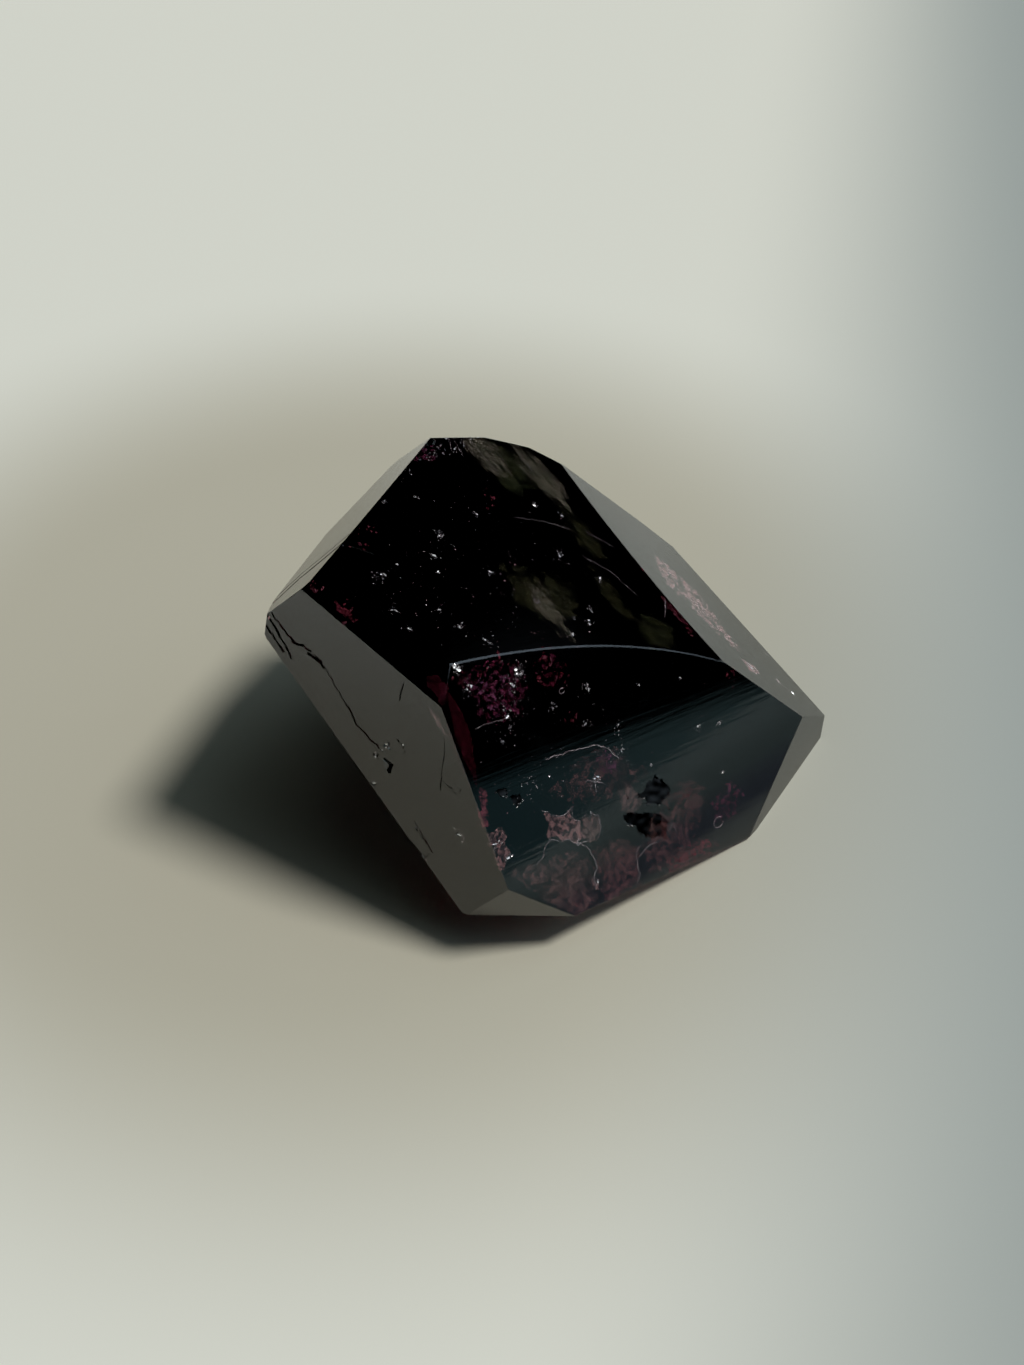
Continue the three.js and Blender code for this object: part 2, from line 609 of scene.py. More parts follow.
def garnet_material():
    material, tree, shader = new_material("garnet")
    shader.inputs["Base Color"].default_value = (1, 1, 1, 1)
    shader.inputs["Transmission Weight"].default_value = 1
    shader.inputs["IOR"].default_value = GARNET_IOR
    density = max(ABSORPTION_PER_MM) / MM
    colour = [1 - a / MM / density for a in ABSORPTION_PER_MM] + [1]
    absorption = add_node(tree, "ShaderNodeVolumeAbsorption", {"Density": density, "Color": colour})
    tree.links.new(absorption.outputs["Volume"], tree.nodes["Material Output"].inputs["Volume"])
    # Polish: mostly mirror-like, with faint smears and fine lines from the polishing wheel.
    smears = noise_texture(tree, millimetres(tree), 0.25, 6.0)
    tree.links.new(carried(tree, smears, (0.4, 0.75), (0.01, 0.07)), shader.inputs["Roughness"])
    lines = noise_texture(tree, stretched(tree, FRONT, turn=-10, along=0.12, across=2.2), 1.0, 3.0)
    add_bump(tree, shader, lines, 0.1, 0.02)
    return material


def mottled_material(name, colour, other, roughness, grain):
    """A material whose colour, roughness and height follow one noise."""
    material, tree, shader = new_material(name)
    mottle = noise_texture(tree, millimetres(tree), grain, 5.0)
    blend = mixed(tree, carried(tree, mottle, (0.42, 0.58)), (*colour, 1), (*other, 1))
    tree.links.new(blend, shader.inputs["Base Color"])
    rough = carried(tree, mottle, end=(roughness * 0.6, roughness * 1.4))
    tree.links.new(rough, shader.inputs["Roughness"])
    add_bump(tree, shader, mottle, 0.5, 0.1)
    return material


CRYSTAL_ROUGHNESS = 0.3
CRYSTAL_GRAIN = 1.5


def crystal_material(name, colour, other, glitter=0.0):
    """Small mineral crystals with glossy sides. glitter makes them flash like bubbles and open cracks do."""
    material = mottled_material(name, colour, other, CRYSTAL_ROUGHNESS, CRYSTAL_GRAIN)
    material.node_tree.nodes["Principled BSDF"].inputs["Metallic"].default_value = glitter
    return material


FILM_ROUGHNESS = 0.6
FILM_SPECULAR = 0.1
# How much finer a film's colours are grained than its tears.
FINER_COLOURS = 1.6


def film_material(name, colour, other, grain, softness, raggedness, opacity=0.9, stretch=None):
    """A thin film: whole where its mesh's haze is 1, torn by noise where it is less, gone where it is 0.
    stretch is the values for stretched, if the tears are longer one way."""
    material = mottled_material(name, colour, other, FILM_ROUGHNESS, FINER_COLOURS * grain)
    tree = material.node_tree
    shader = tree.nodes["Principled BSDF"]
    shader.inputs["Specular IOR Level"].default_value = FILM_SPECULAR
    haze = add_node(tree, "ShaderNodeAttribute", attribute_name="haze").outputs["Fac"]
    where = stretched(tree, *stretch) if stretch else millimetres(tree)
    tear = noise_texture(tree, where, grain, 6.0, roughness=0.6)
    inputs = {0: tear, 1: raggedness, 2: -raggedness / 2}
    swing = add_node(tree, "ShaderNodeMath", inputs, operation="MULTIPLY_ADD").outputs[0]
    total = add_node(tree, "ShaderNodeMath", {0: haze, 1: swing}, operation="ADD").outputs[0]
    alpha = carried(tree, total, (0.5 - softness, 0.5 + softness), (0, opacity), smooth=True)
    tree.links.new(alpha, shader.inputs["Alpha"])
    return material


# ---- What is sealed in the stone ----

OVAL_ROUGHNESS = 0.25


def ellipse(half, strength, seed):
    """A soft oval for add_sheet: strongest in the middle and gone at the rim."""

    def keep(x, y):
        r = math.hypot(x / half[0], y / half[1]) + OVAL_ROUGHNESS * noise.noise(Vector((x, y, seed)))
        return strength * (1 - r * r) ** 1.5 if r < 1 else 0

    return keep


def edge_distance(point, outline):
    """How far a 2-D point is from the nearest side of an outline."""
    p = Vector(point)
    nearest = math.inf
    for a, b in zip(outline, outline[1:] + outline[:1]):
        a, b = Vector(a), Vector(b)
        side = b - a
        t = min(1, max(0, (p - a).dot(side) / max(side.length_squared, 1e-9)))
        nearest = min(nearest, (a + side * t - p).length)
    return nearest


def patch(outline, centre, strength, soft, seed, wander):
    """A piece with a broken outline for add_sheet, in the face's own axes. It fades over the soft width."""
    ragged = jagged(outline + outline[:1], random.Random(seed), 0.5, wander)[:-1]

    def keep(x, y):
        point = (x + centre[0], y + centre[1])
        if not inside(point, ragged):
            return 0
        return strength * min(1, 0.15 + edge_distance(point, ragged) / soft)

    return keep


CLOUD_ROOM = 1.3
PATCH_ROOM = 0.3


def add_cloud(bm, centre, half, turn, depth, seed, strength, cell):
    """A soft oval film below the dome, with its first half-width turned by some degrees."""
    room = (half[0] * CLOUD_ROOM, half[1] * CLOUD_ROOM)
    add_sheet(bm, DOME, centre, room, turn, depth, ellipse(half, strength, seed), seed, cell)


def add_patch(bm, face, depth, seed, strength, soft, relief, cell, outline, wander=0.12):
    """A film with a broken outline."""
    left, right, bottom, top = span(outline)
    centre = ((left + right) / 2, (bottom + top) / 2)
    half = ((right - left) / 2 + PATCH_ROOM, (top - bottom) / 2 + PATCH_ROOM)
    keep = patch(outline, centre, strength, soft, seed, wander)
    add_sheet(bm, face, centre, half, 0, depth, keep, seed, cell, relief)


RIBBON_END = 0.25


def ribbon(width, line):
    """The outline of a strip along a line: as wide as asked in the middle and narrow at both ends."""
    left, right = [], []
    for i, point in enumerate(line):
        ahead = Vector(line[min(i + 1, len(line) - 1)]) - Vector(line[max(i - 1, 0)])
        side = Vector((-ahead.y, ahead.x)).normalized()
        half = width / 2 * (RIBBON_END if i in (0, len(line) - 1) else 1.0)
        left.append(tuple(Vector(point) + side * half))
        right.append(tuple(Vector(point) - side * half))
    return left + right[::-1]


def add_cluster(bm, rng, face, u, v, spread, count, size, depth):
    """A knot of small crystals. size and depth are (least, most)."""
    for _ in range(count):
        at = face.spot(u + rng.gauss(0, spread), v + rng.gauss(0, spread), rng.uniform(*depth))
        facing = (face.normal + random_vector(rng, 0.5)).normalized()
        add_shard(bm, rng, at, facing, rng.uniform(*size), 0.35, points=7)


CURL_STEPS = 8
CURL_DEPTH = 0.06
CURL_THICKNESS = 0.016


def add_curl(bm, rng, face, u, v, radius):
    """A short curved whisker, part of a ring."""
    start = rng.uniform(0, 360)
    sweep = rng.uniform(120, 300)
    wide = rng.uniform(0.6, 1.0)
    path = []
    for k in range(CURL_STEPS + 1):
        angle = math.radians(start + sweep * k / CURL_STEPS)
        across, up = radius * math.cos(angle), radius * wide * math.sin(angle)
        path.append(face.spot(u + across, v + up, CURL_DEPTH))
    add_tube(bm, path, CURL_THICKNESS, sides=4)


def add_knot(bm, rng, face, u, v, spread, count, curls):
    """One or two compact splinters, with finer ones and a few whiskers round them."""
    largest = 0.16 + 0.02 * min(count, 9)
    add_cluster(bm, rng, face, u, v, spread * 0.5, 2 + count // 4, (0.13, largest), (0.03, 0.08))
    add_cluster(bm, rng, face, u, v, spread, count * 2, (0.04, 0.12), (0.04, 0.16))
    for _ in range(curls // 2):
        at = (u + rng.gauss(0, spread), v + rng.gauss(0, spread))
        add_curl(bm, rng, face, *at, rng.uniform(0.12, 0.3))


# How deep the flaws near the surface and the scattered dust lie, as (least, most).
SHALLOW = (0.04, 0.22)
SCATTERED = (0.06, 0.6)


def add_string(bm, rng, start, end, count, scatter, size):
    """Single crystals below the front face, scattered about the line from start to end."""
    for _ in range(count):
        t = rng.uniform(0, 1)
        u = start[0] + (end[0] - start[0]) * t
        v = start[1] + (end[1] - start[1]) * t + rng.gauss(0, scatter)
        add_cluster(bm, rng, FRONT, u, v, 0.1, 1, size, SHALLOW)


# Knots of pale crystals, as (u, v, spread, crystals, curls).
DOME_KNOTS = (
    (-1.3, 7.5, 0.4, 9, 3), (-4.7, 7.5, 0.3, 6, 2), (-9.9, 12.0, 0.6, 12, 4), (-7.7, 10.9, 0.1, 4, 0),
    (-14.2, 9.9, 0.4, 5, 2), (-12.3, 5.8, 0.2, 4, 1), (-13.6, 3.4, 0.4, 6, 2), (-14.1, 0.6, 0.4, 6, 2),
    (-16.2, 8.2, 0.3, 5, 1), (3.0, -5.2, 0.3, 5, 2), (2.2, -10.1, 0.3, 5, 1), (-5.2, -9.5, 0.25, 5, 2),
    (-3.2, -9.4, 0.25, 4, 1), (-5.8, -7.8, 0.2, 3, 1), (-8.3, -7.9, 0.25, 4, 1), (-4.1, 1.7, 0.25, 4, 1),
    (-6.9, 6.7, 0.1, 3, 0), (3.4, 10.8, 0.2, 3, 1), (1.1, 13.7, 0.2, 2, 3), (7.1, 12.2, 0.3, 3, 1),
    (3.9, 4.6, 0.3, 3, 2), (9.3, -1.4, 0.3, 4, 1), (9.6, -4.7, 0.2, 4, 0),
)
# The first two front knots sit at the corner of the front face and paint the white highlight on that corner.
FRONT_KNOTS = (
    (-14.6, 18.4, 0.3, 16, 1), (-14.9, 18.9, 0.15, 10, 0), (-14.3, 16.2, 0.4, 8, 1), (-8.2, 14.9, 0.5, 18, 5),
    (-11.0, 12.0, 0.7, 12, 3), (-1.3, 9.5, 0.45, 7, 4), (-5.9, 9.7, 0.35, 5, 2), (10.4, -1.2, 0.25, 6, 2),
    (13.4, -2.4, 0.3, 7, 2), (11.8, -7.4, 0.2, 4, 0), (-4.0, 0.2, 0.6, 8, 1), (-11.3, 10.4, 0.2, 3, 0),
    (-2.9, 6.4, 0.4, 5, 2), (0.7, 3.9, 0.4, 5, 1), (3.2, -1.8, 0.1, 3, 0), (0.4, 1.6, 0.6, 6, 1),
    (5.0, 6.7, 0.1, 2, 0), (10.3, 4.7, 0.1, 2, 0), (-9.4, 14.0, 0.6, 8, 2), (-17.2, 0.4, 0.5, 8, 3),
    (-16.6, -1.4, 0.4, 6, 2), (-12.8, 9.6, 0.5, 6, 2), (-8.5, -4.3, 0.3, 5, 1), (-6.0, -2.6, 0.4, 5, 1),
    (-8.1, -9.4, 0.3, 6, 1),
)
# Pale crystals below the left and right faces, as (face, u, v, crystals). The first two below the right face
# are put where a glint shows, as a painted glint.
SIDE_CRYSTALS = (
    (LEFT, 8.7, -7.1, 5), (LEFT, 8.0, -6.0, 2), (RIGHT, -8.0, -4.7, 10), (RIGHT, -7.6, -4.3, 5),
    (RIGHT, -6.7, -10.8, 4), (RIGHT, -7.6, -12.7, 3),
)


def pale_crystals():
    """Small white crystals and bubbles close to the surface, which show no red."""
    bm = bmesh.new()
    rng = random.Random(21)
    # Fine dust below the dome, denser towards the front, and its knots.
    for _ in range(120):
        u = rng.triangular(-17, 13, -12)
        v = rng.uniform(-13, 13) * (1 - (u + 17) / 60)
        add_cluster(bm, rng, DOME, u, v, 0.05, 1, (0.05, 0.12), SCATTERED)
    for knot in DOME_KNOTS:
        add_knot(bm, rng, DOME, *knot)
    # Bruised places along the crest.
    for _ in range(60):
        u = rng.uniform(10.0, 18.0)
        v = 11.2 - (u - 9.5) * 0.38 + rng.uniform(-2.2, 0.6)
        add_cluster(bm, rng, DOME, u, v, 0.1, 1, (0.07, 0.18), (0.03, 0.14))
    # Dust below the front face, a string of it along the edge of the shade, and the knots.
    for _ in range(80):
        u = rng.uniform(-15, 14)
        v = rng.gauss(6 - 0.35 * (u + 15), 4.0)
        add_cluster(bm, rng, FRONT, u, v, 0.05, 1, (0.05, 0.11), SCATTERED)
    add_string(bm, rng, (-14.5, 5.0), (1.5, 1.5), 40, 0.9, (0.05, 0.13))
    for knot in FRONT_KNOTS:
        add_knot(bm, rng, FRONT, *knot)
    # Bubbles strung along the bright arc.
    add_string(bm, rng, (-12.5, 4.4), (-0.5, 2.4), 46, 0.7, (0.05, 0.15))
    # Glitter on the healed cracks, and the finest dust.
    for _ in range(70):
        u, v = rng.uniform(-14.6, -7.6), rng.uniform(10.4, 17.4)
        add_cluster(bm, rng, FRONT, u, v, 0.1, 1, (0.03, 0.09), SHALLOW)
    add_string(bm, rng, (-16, 4.5), (8, -1.5), 130, 3.6, (0.025, 0.06))
    for _ in range(110):
        u, v = rng.uniform(-17, 9), rng.gauss(4, 7)
        add_cluster(bm, rng, DOME, u, v, 0.1, 1, (0.03, 0.07), SHALLOW)
    for u, v, radius in CRUMBLED:
        add_cluster(bm, rng, LEFT, u, v, radius * 0.4, 5, (radius * 0.3, radius * 0.6), (0.04, 0.1))
    for face, u, v, count in SIDE_CRYSTALS:
        add_cluster(bm, rng, face, u, v, 0.3, count, (0.2, 0.45), (0.1, 0.2))
    return bm


# Knots of crystals deeper down, as (face, u, v, spread, crystals).
RED_KNOTS = (
    (FRONT, -3.6, 11.9, 0.6, 12), (FRONT, -4.6, 14.6, 0.4, 8), (FRONT, -5.7, 12.9, 0.4, 8),
    (FRONT, -14.2, 17.0, 0.5, 10), (FRONT, -3.9, 7.2, 0.4, 6), (FRONT, 17.0, 1.5, 0.4, 8),
    (FRONT, -12.6, 16.4, 0.7, 8), (FRONT, -9.0, 16.0, 0.6, 6), (DOME, 7.6, 3.2, 0.6, 8),
    (DOME, -3.4, 14.4, 0.5, 7), (DOME, -6.0, 14.4, 0.4, 4), (INNER, -8.0, 4.4, 0.5, 8),
    (INNER, -4.6, 2.4, 0.6, 10), (DOME, 8.6, -15.4, 0.3, 7), (DOME, 4.2, -19.2, 0.5, 8),
    (DOME, 2.6, -21.6, 0.6, 8), (DOME, 3.4, -23.0, 0.3, 5),
)


def red_crystals():
    """The same crystals deeper down, where the stone tints them red."""
    bm = bmesh.new()
    rng = random.Random(33)
    for face, u, v, spread, count in RED_KNOTS:
        add_cluster(bm, rng, face, u, v, spread, count, (0.12, 0.34), (0.5, 1.3))
    return bm


# Films with broken outlines, as (face, depth, seed, strength, width of the soft rim, relief, cell, outline)
# and, if it is unusual, how far the outline wanders. First the healed cracks: purple and pink nets.
VEILS = (
    (FRONT, 0.4, 3, 0.3, 0.9, 0.4, 0.13, [
        (-14.4, 17.4), (-12.6, 16.8), (-10.4, 15.8), (-9.0, 14.8), (-9.2, 13.0), (-10.2, 11.0), (-12.0, 11.6),
        (-13.6, 12.6), (-13.0, 14.4), (-14.0, 15.8)]),
    (FRONT, 0.8, 5, 0.16, 1.4, 0.5, CELL, [
        (-14.6, 17.8), (-11.0, 17.4), (-7.6, 16.0), (-7.4, 13.2), (-9.6, 10.4), (-13.8, 11.8)]),
    (FRONT, 1.0, 8, 0.2, 1.2, 0.5, CELL, [
        (-6.2, 14.6), (-3.6, 15.0), (-2.4, 12.6), (-3.6, 10.6), (-5.8, 11.8)]),
    (FRONT, 0.5, 9, 0.6, 0.8, 0.3, CELL, [(-3.2, 2.0), (-1.4, 2.6), (-0.6, 0.8), (-1.2, -0.8), (-2.9, -0.4)]),
    (FRONT, 0.7, 10, 0.4, 1.6, 0.3, CELL, [
        (9.0, -9.8), (12.6, -8.8), (14.0, -11.0), (11.6, -13.0), (8.6, -12.0)]),
    (DOME, 0.7, 14, 0.35, 0.7, 0.3, CELL, [
        (9.4, 12.2), (11.6, 12.2), (13.0, 10.6), (11.4, 9.6), (9.8, 10.6)]),
)
# Pale pink wisps below the right face, a white patch below it that is a painted glint, and streaks below the
# left one.
SIDE_VEILS_AND_PAINTED_GLINT = (
    (RIGHT, 0.15, 11, 0.42, 1.0, 0, 0.2, [
        (5.3, 5.8), (5.4, 3.6), (4.1, 1.6), (2.8, -1.5), (0.2, -2.4), (-5.2, -4.5), (-6.4, -3.1),
        (-5.1, -1.1), (-3.7, 2.0), (-2.2, 3.8), (-0.9, 6.2), (1.9, 6.4)]),
    (RIGHT, 0.2, 12, 0.42, 0.8, 0, 0.2, ribbon(2.6, [
        (4.4, 6.0), (3.6, 3.4), (1.8, 1.6), (0.4, -0.4), (-1.8, -1.4), (-4.4, -3.6)])),
    # A white patch that paints a glint below the right face.
    (RIGHT, 0.08, 13, 1.0, 0.4, 0, 0.13, [
        (-7.4, -3.4), (-6.9, -6.0), (-7.8, -6.4), (-8.8, -5.5), (-9.4, -3.6)]),
    (LEFT, 0.1, 15, 0.9, 0.3, 0, CELL, ribbon(0.7, [(3.6, 6.8), (4.9, 5.6), (6.3, 4.0)])),
    (LEFT, 0.1, 16, 0.8, 0.2, 0, CELL, ribbon(0.5, [(-12.8, 3.8), (-12.0, 2.8), (-11.2, 1.4)])),
)
# Flat breaks just below the surface, brown-pink and grey: a star, one in the corner, and a flake.
FRACTURES = (
    (FRONT, 0.2, 41, 0.95, 0.12, 0.1, 0.11, [
        (-11.2, 0.9), (-10.6, 0.3), (-9.6, -0.7), (-8.6, -0.9), (-7.8, -0.6), (-8.1, -1.8), (-7.2, -2.6),
        (-7.5, -3.2), (-7.1, -4.9), (-7.8, -4.4), (-8.7, -4.4), (-9.4, -3.4), (-10.4, -3.2), (-10.6, -2.4),
        (-11.7, -2.0), (-11.0, -0.9)], 0.08),
    (FRONT, 0.25, 43, 0.8, 0.25, 0.15, 0.11, [
        (-18.1, 2.4), (-17.2, 1.9), (-16.4, 2.3), (-15.8, 0.8), (-16.4, 0.0), (-16.2, -0.9), (-17.1, -1.6),
        (-17.6, -2.8), (-18.3, -1.2)]),
    (FRONT, 0.2, 44, 0.9, 0.2, 0, 0.13, [
        (-8.4, -8.7), (-7.8, -8.6), (-7.6, -9.6), (-8.1, -10.4), (-8.6, -9.5)]),
)
# Thin colourless breaks, just lighter than the dark round them. The last four are broad and faint.
GREY_FILMS = (
    (FRONT, 0.2, 42, 0.9, 0.3, 0.1, 0.13, [
        (-7.2, -2.0), (-6.4, -2.6), (-5.6, -2.4), (-5.0, -3.2), (-5.3, -4.4), (-6.2, -5.5), (-7.0, -5.2),
        (-7.5, -4.9)]),
    (FRONT, 0.3, 46, 0.7, 0.5, 0, CELL, [(-1.6, -2.2), (0.2, -2.6), (0.8, -5.2), (-0.9, -5.2), (-2.4, -4.0)]),
    (FRONT, 0.35, 47, 0.6, 1.2, 0, 0.25, [
        (-17.4, -2.6), (-13.8, -3.6), (-9.6, -4.6), (-7.8, -6.2), (-7.6, -8.6), (-8.6, -11.6), (-10.4, -12.6),
        (-13.2, -9.4)]),
    (FRONT, 0.5, 48, 0.7, 1.0, 0, 0.25, [
        (-7.0, -6.0), (-3.4, -6.6), (-1.4, -8.8), (-2.6, -12.8), (-7.8, -12.4)]),
    (FRONT, 0.5, 49, 0.45, 1.8, 0, 0.25, [
        (-1.0, -8.6), (3.6, -6.0), (7.4, -5.0), (9.6, -8.6), (5.0, -12.6), (-1.2, -12.8)]),
    (FRONT, 0.5, 50, 0.3, 2.0, 0, 0.25, [
        (-10.4, 2.2), (-3.0, 3.6), (0.6, 1.4), (2.8, -2.6), (-1.2, -3.0), (-6.8, -1.0)]),
)
# Reddish films some way down near the lower and outer edges: a painted glow of light that shines wine red
# through the thin edges.
PAINTED_RED_GLOW = (
    (FRONT, 0.9, 51, 0.5, 1.6, 0, 0.2, [
        (-13.6, -7.0), (-10.4, -8.2), (-8.8, -10.6), (-9.6, -12.4), (-11.8, -10.0)]),
    (FRONT, 0.9, 52, 0.5, 1.0, 0, 0.2, [(-7.4, -10.4), (-5.0, -11.0), (-3.2, -12.8), (-7.6, -12.4)]),
    (FRONT, 0.9, 53, 0.7, 1.2, 0, 0.2, [
        (0.2, -12.6), (3.4, -11.8), (7.6, -12.8), (8.6, -14.6), (3.0, -14.4)]),
    (FRONT, 1.2, 54, 0.45, 1.0, 0, 0.2, [(4.6, -6.2), (7.4, -6.8), (8.6, -8.8), (6.2, -9.6)]),
    (FRONT, 0.5, 58, 0.7, 0.4, 0, 0.2, [(-17.4, 2.4), (-16.2, 6.4), (-16.8, 6.8), (-18.2, 3.0)]),
    (DOME, 0.7, 59, 0.7, 0.5, 0, CELL, ribbon(1.2, [(5.2, -17.6), (3.8, -20.0), (2.6, -22.2)])),
    (INNER, 0.8, 60, 0.55, 0.3, 0, CELL, ribbon(0.9, [(-6.0, 3.2), (-4.6, 2.2), (-3.4, 1.6)])),
)
# A dark wine-red band along the left margin of the front face, and the tip of the face beside it.
RED_BAND = (
    (FRONT, 0.9, 55, 1.0, 0.1, 0, 0.13, [
        (-16.4, 17.4), (-15.7, 15.0), (-15.5, 12.9), (-15.6, 11.3), (-16.2, 8.8), (-17.0, 6.5),
        (-17.4, 11.7)], 0.03),
    (INNER, 0.8, 56, 1.0, 0.2, 0, 0.13, [(3.9, -2.6), (5.4, -2.2), (6.4, -3.4), (6.4, -5.0), (5.2, -4.2)]),
)
# Soft olive bands below the back of the dome, which are a painted reflection on the dome, and fainter green
# ones.
OLIVE_PAINTED_REFLECTION_BANDS = (
    (DOME, 0.18, 61, 0.8, 2.0, 0, 0.2, ribbon(4.2, [(17.6, 8.0), (15.4, 5.8), (13.4, 3.4), (11.6, 1.8)])),
    (DOME, 0.18, 62, 0.8, 1.8, 0, 0.2, ribbon(3.8, [(18.4, 2.8), (15.8, -0.4), (13.2, -3.2), (10.8, -5.6)])),
)
GREEN_BANDS = (
    (DOME, 0.2, 69, 0.9, 1.4, 0, 0.2, ribbon(3.4, [(13.4, 3.4), (11.4, 1.4), (9.6, 0.2)])),
    (DOME, 0.3, 70, 0.5, 1.7, 0, 0.2, ribbon(3.4, [(12.4, -4.0), (9.6, -6.4), (7.0, -8.8), (5.0, -10.6)])),
)
# Soft oval films below the dome, each as (middle, half-widths, turn, depth, seed, strength, cell): first the
# leaf-shaped halo round a bubble. The halo and the green clouds are a painted reflection: an olive oval on
# the dome.
PAINTED_REFLECTION_HALO = (((-5.8, -4.9), (4.2, 1.7), 42, 0.18, 63, 0.75, CELL),)
GREEN_PAINTED_REFLECTION_CLOUDS = (
    ((-3.8, -5.6), (3.6, 2.9), 20, 0.3, 64, 1.5, 0.2),
    ((-4.8, -3.0), (4.6, 2.6), 42, 0.3, 68, 0.9, 0.2),
)
FAINT_CLOUDS = (
    ((14.5, 1.6), (4.6, 1.4), 45, 0.2, 66, 0.7, 0.25),
    ((1.0, -11.4), (5.0, 1.3), 45, 0.3, 67, 0.7, 0.25),
    ((-1.2, -17.4), (3.2, 2.6), 0, 0.25, 65, 0.9, 0.2),
)


def films(patches, clouds=(), last_clouds=()):
    """One bmesh of films, with clouds before and after the patches."""
    bm = bmesh.new()
    for row in clouds:
        add_cloud(bm, *row)
    for row in patches:
        add_patch(bm, *row)
    for row in last_clouds:
        add_cloud(bm, *row)
    return bm


# Whiskers and the bright rims of breaks below each face, as (line, radius).
WHISKERS = (
    (FRONT, (
        ([(-11.2, 0.9), (-9.6, -0.7), (-8.6, -0.9), (-7.8, -0.6), (-8.1, -1.8), (-7.2, -2.6)], 0.04),
        ([(-7.1, -4.9), (-8.7, -4.4), (-9.4, -3.4), (-10.4, -3.2), (-11.7, -2.0)], 0.03),
        ([(-9.0, 5.3), (-7.8, 5.2), (-6.6, 4.8), (-5.4, 4.6), (-4.2, 4.2), (-2.8, 3.8), (-1.4, 2.8),
         (-0.3, 0.8)], 0.05),
        ([(-15.2, 12.2), (-13.0, 11.9), (-10.9, 11.2)], 0.03),
        ([(-8.5, -4.3), (-7.6, -5.4), (-7.4, -6.3), (-7.2, -7.2), (-7.4, -8.1), (-8.2, -8.9),
         (-8.0, -9.7)], 0.05),
        ([(-1.2, -8.8), (-2.0, -9.1), (-2.4, -10.0), (-2.6, -11.5), (-3.4, -12.4)], 0.03),
        ([(-5.8, -2.4), (-5.0, -3.2), (-5.2, -4.4), (-6.1, -5.4)], 0.03),
        ([(-11.2, -2.2), (-12.2, -2.6), (-12.8, -3.4), (-14.0, -3.8)], 0.03),
        ([(-5.2, 0.9), (-4.0, 0.2), (-3.0, -0.7)], 0.05),
        ([(-4.4, -0.9), (-3.8, 1.0)], 0.045),
        ([(-2.0, -9.8), (-0.2, -9.4), (0.8, -9.8)], 0.03),
        ([(2.6, -9.4), (3.4, -9.0), (3.6, -10.2)], 0.03),
    )),
    (DOME, (
        ([(5.9, 0.4), (7.4, -3.0), (7.9, -5.8)], 0.022),
        ([(8.8, -7.8), (8.6, -11.0)], 0.022),
        ([(4.6, -7.6), (4.4, -11.0), (2.8, -14.6)], 0.022),
        ([(4.7, -18.0), (1.8, -18.1)], 0.04),
        ([(16.6, 10.0), (14.2, 8.2), (12.6, 7.2)], 0.022),
        ([(15.0, 9.4), (13.0, 8.6)], 0.022),
        ([(16.0, 7.4), (13.8, 5.0), (12.2, 3.2)], 0.016),
        ([(15.2, 7.8), (13.6, 6.2)], 0.016),
        ([(16.8, 1.6), (14.6, -0.8)], 0.016),
    )),
    (RIGHT, (
        ([(4.7, 4.3), (2.4, 4.2), (0.4, 2.6), (-0.8, 0.4), (-2.6, -0.8)], 0.05),
        ([(1.4, 5.8), (0.2, 4.4), (-0.6, 2.4)], 0.04),
        ([(-1.3, -11.0), (-1.9, -11.8)], 0.06),
        ([(-6.7, -10.8), (-7.6, -12.7)], 0.06),
    )),
)
WHISKER_DEPTH = 0.12
# Open rings round small bubbles, as (face, u, v, radius).
BUBBLE_RINGS = ((FRONT, -4.2, 10.7, 0.34), (DOME, -5.5, -3.6, 0.34), (FRONT, 9.2, -12.1, 0.7))
RING_ANGLES = [math.radians(20 + 24 * k) for k in range(14)]
RING_FLATNESS = 0.8


def threads():
    """All that is as thin as a hair."""
    bm = bmesh.new()
    rng = random.Random(71)
    for face, lines in WHISKERS:
        for line, radius in lines:
            places = jagged(line, rng, 0.35, 0.09)
            path = [face.spot(u, v, WHISKER_DEPTH * rng.uniform(0.6, 1.4)) for u, v in places]
            add_tube(bm, path, radius)
    for face, u, v, radius in BUBBLE_RINGS:
        flat = RING_FLATNESS * radius
        arc = [face.spot(u + radius * math.cos(a), v + flat * math.sin(a), 0.15) for a in RING_ANGLES]
        add_tube(bm, arc, 0.045)
    return bm


# ---- Assembly ----


def seal_in(bm, name, material):
    """Makes a flaw an object that rides with the stone."""
    bmesh.ops.recalc_face_normals(bm, faces=bm.faces)
    piece = new_object(bm, name, [material], smooth=False)
    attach(piece, BODY)


SHARP_ANGLE = math.radians(32)


def build_stone():
    """The polished stone with its damage cut out, in place of the CAD stone."""
    stone = new_object(rounded_stone(), "polished_garnet", [garnet_material()])
    cutters = new_object(damage(), "cutters", [])
    modify(stone, "BOOLEAN", operation="DIFFERENCE", solver="EXACT", use_self=True, object=cutters)
    bpy.data.objects.remove(cutters)
    stone.data.set_sharp_from_angle(angle=SHARP_ANGLE)
    modify(stone, "WEIGHTED_NORMAL", keep_sharp=True, weight=100)
    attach(stone, BODY)
    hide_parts(CAD_NODE)


